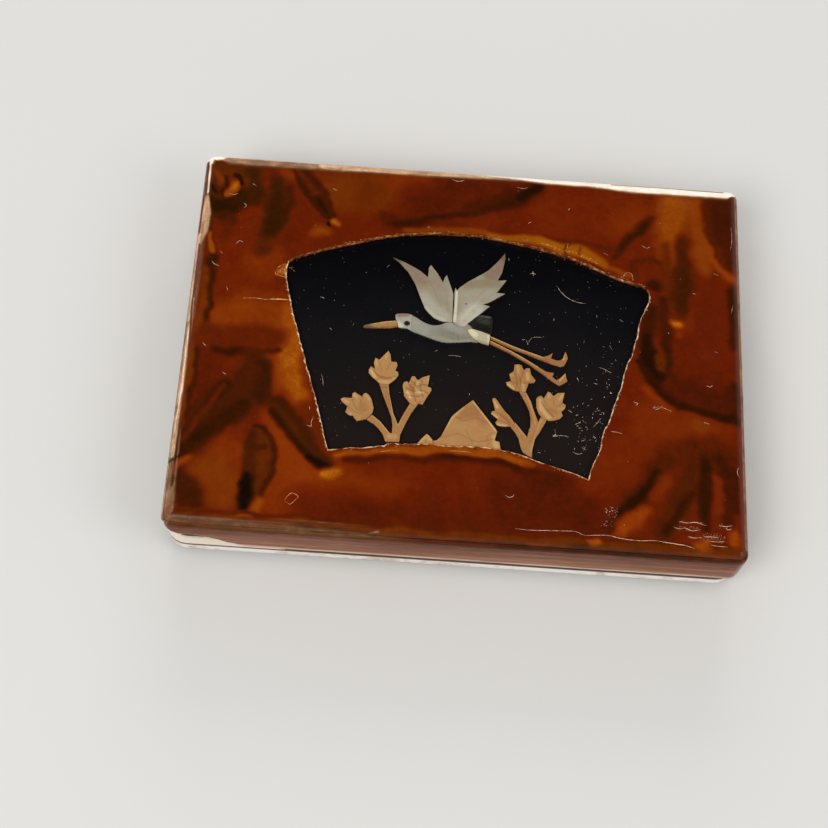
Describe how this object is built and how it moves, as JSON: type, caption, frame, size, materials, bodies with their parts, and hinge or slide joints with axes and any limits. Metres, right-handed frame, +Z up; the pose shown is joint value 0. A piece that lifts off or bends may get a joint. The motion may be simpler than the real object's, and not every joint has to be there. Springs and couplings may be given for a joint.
{
  "type": "lacquer box",
  "caption": "Slim rectangular lacquer box with a hinged lid, tortoiseshell plates over wood, and a fan-shaped window showing an inlaid crane, flowers and mountains.",
  "frame": {"origin": "on the underside of the base, in the middle of the wooden case, hinges not counted", "axes": "+X to the viewer's right along the long side, +Y to the back where the hinges are, +Z up through the lid"},
  "size_m": [0.102, 0.0777, 0.0153],
  "materials": {
    "tortoiseshell": "gloss",
    "black_lacquer": "gloss",
    "gold_fleck_lacquer": "gloss",
    "pearl": "satin",
    "grey_shell": "satin",
    "cream_shell": "satin",
    "dark_horn": "satin",
    "pink_straw": "satin",
    "straw": "satin",
    "brass": "satin"
  },
  "bodies": {
    "base": {"base_core": "black_lacquer", "frame_front_board": "black_lacquer", "frame_back_board": "black_lacquer", "frame_left_board": "black_lacquer", "frame_right_board": "black_lacquer", "floor_panel": "gold_fleck_lacquer", "left_hinge_base_leaf": "brass", "right_hinge_base_leaf": "brass", "left_hinge_pin": "brass", "right_hinge_pin": "brass", "base_left_inner_nail": "brass", "base_left_outer_nail": "brass", "base_right_inner_nail": "brass", "base_right_outer_nail": "brass"},
    "lid": {"lid_core": "black_lacquer", "lid_top_plate": "tortoiseshell", "lid_front_plate": "tortoiseshell", "lid_back_plate": "tortoiseshell", "lid_left_plate": "tortoiseshell", "lid_right_plate": "tortoiseshell", "ceiling_panel": "gold_fleck_lacquer", "crane_left_wing": "pearl", "crane_right_wing": "pearl", "crane_head": "pearl", "crane_eye": "dark_horn", "crane_beak": "pink_straw", "crane_body": "grey_shell", "crane_rump": "cream_shell", "crane_tail": "dark_horn", "crane_upper_leg": "pink_straw", "crane_lower_leg": "pink_straw", "left_stems": "straw", "left_flower": "straw", "top_flower": "straw", "near_flower": "straw", "mountain": "straw", "foothill": "straw", "right_stems": "straw", "right_bud": "straw", "leg_flower": "straw", "right_flower": "straw", "left_hinge_lid_leaf": "brass", "right_hinge_lid_leaf": "brass", "lid_left_inner_nail": "brass", "lid_left_outer_nail": "brass", "lid_right_inner_nail": "brass", "lid_right_outer_nail": "brass"}
  },
  "joints": [
    {"name": "lid_hinge", "type": "hinge", "parent": "base", "child": "lid", "pos_m": [0, 0.03905, 0.00555], "axis": [-1, 0, 0], "range_deg": [0, 120]}
  ]
}
